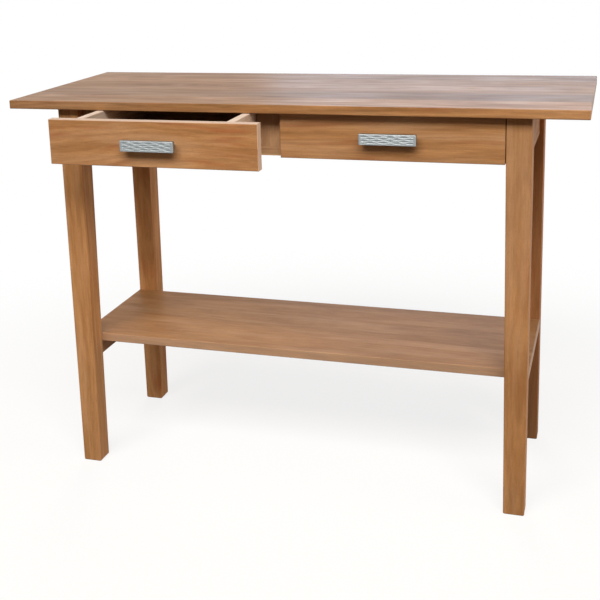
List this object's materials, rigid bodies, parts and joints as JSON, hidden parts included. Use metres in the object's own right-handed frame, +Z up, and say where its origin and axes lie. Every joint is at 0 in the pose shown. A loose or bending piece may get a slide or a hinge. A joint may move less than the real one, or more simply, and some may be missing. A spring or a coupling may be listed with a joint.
{
  "type": "serving table",
  "caption": "Solid wood serving table with a thin overhanging top, tapered legs, a low shelf between end rails, and drawers with rippled metal bar pulls that slide on wooden runners.",
  "frame": {"origin": "on the floor, under the middle of the box round the table as stored with its left drawer partly open", "axes": "+X to the right along the top's length, +Y from the drawers to the back, +Z up"},
  "size_m": [1.2, 0.607, 0.84],
  "materials": {
    "top_wood": "satin oil on sanded hardwood",
    "shelf_wood": "satin oil on sanded hardwood",
    "frame_wood": "satin oil on sanded hardwood",
    "front_wood": "satin oil on sanded hardwood",
    "inner_wood": "bare planed wood",
    "panel_wood": "bare plywood",
    "handle_metal": "satin cast metal",
    "screw_steel": "zinc-plated"
  },
  "bodies": {
    "table": {"back_apron": "frame_wood", "drawer_rail": "frame_wood", "drawer_stile_centre": "frame_wood", "drawer_stile_left": "frame_wood", "drawer_stile_right": "frame_wood", "end_rail_left": "frame_wood", "end_rail_right": "frame_wood", "left_drawer_left_guide": "inner_wood", "left_drawer_left_runner": "inner_wood", "left_drawer_right_guide": "inner_wood", "left_drawer_right_runner": "inner_wood", "leg_back_left": "frame_wood", "leg_back_right": "frame_wood", "leg_front_left": "frame_wood", "leg_front_right": "frame_wood", "right_drawer_left_guide": "inner_wood", "right_drawer_left_runner": "inner_wood", "right_drawer_right_guide": "inner_wood", "right_drawer_right_runner": "inner_wood", "runner_screws": "screw_steel", "shelf_board_back": "shelf_wood", "shelf_board_front": "shelf_wood", "shelf_board_middle": "shelf_wood", "shelf_screws": "screw_steel", "side_apron_left": "frame_wood", "side_apron_right": "frame_wood", "stile_blocks": "inner_wood", "stile_dowels": "inner_wood", "top_board_back": "top_wood", "top_board_back_inner": "top_wood", "top_board_front": "top_wood", "top_board_front_inner": "top_wood", "top_board_middle": "top_wood", "top_buttons": "inner_wood", "top_screws": "screw_steel"},
    "left_drawer": {"left_drawer_back": "inner_wood", "left_drawer_bottom": "panel_wood", "left_drawer_bottom_screws": "screw_steel", "left_drawer_front": "front_wood", "left_drawer_handle_bar": "handle_metal", "left_drawer_handle_post_left": "handle_metal", "left_drawer_handle_post_right": "handle_metal", "left_drawer_handle_screws": "screw_steel", "left_drawer_side_left": "inner_wood", "left_drawer_side_right": "inner_wood"},
    "right_drawer": {"right_drawer_back": "inner_wood", "right_drawer_bottom": "panel_wood", "right_drawer_bottom_screws": "screw_steel", "right_drawer_front": "front_wood", "right_drawer_handle_bar": "handle_metal", "right_drawer_handle_post_left": "handle_metal", "right_drawer_handle_post_right": "handle_metal", "right_drawer_handle_screws": "screw_steel", "right_drawer_side_left": "inner_wood", "right_drawer_side_right": "inner_wood"}
  },
  "joints": [
    {"name": "left_drawer_slide", "type": "slide", "parent": "table", "child": "left_drawer", "axis": [0, -1, 0], "range_m": [-0.132, 0.108]},
    {"name": "right_drawer_slide", "type": "slide", "parent": "table", "child": "right_drawer", "axis": [0, -1, 0], "range_m": [0, 0.24]}
  ]
}
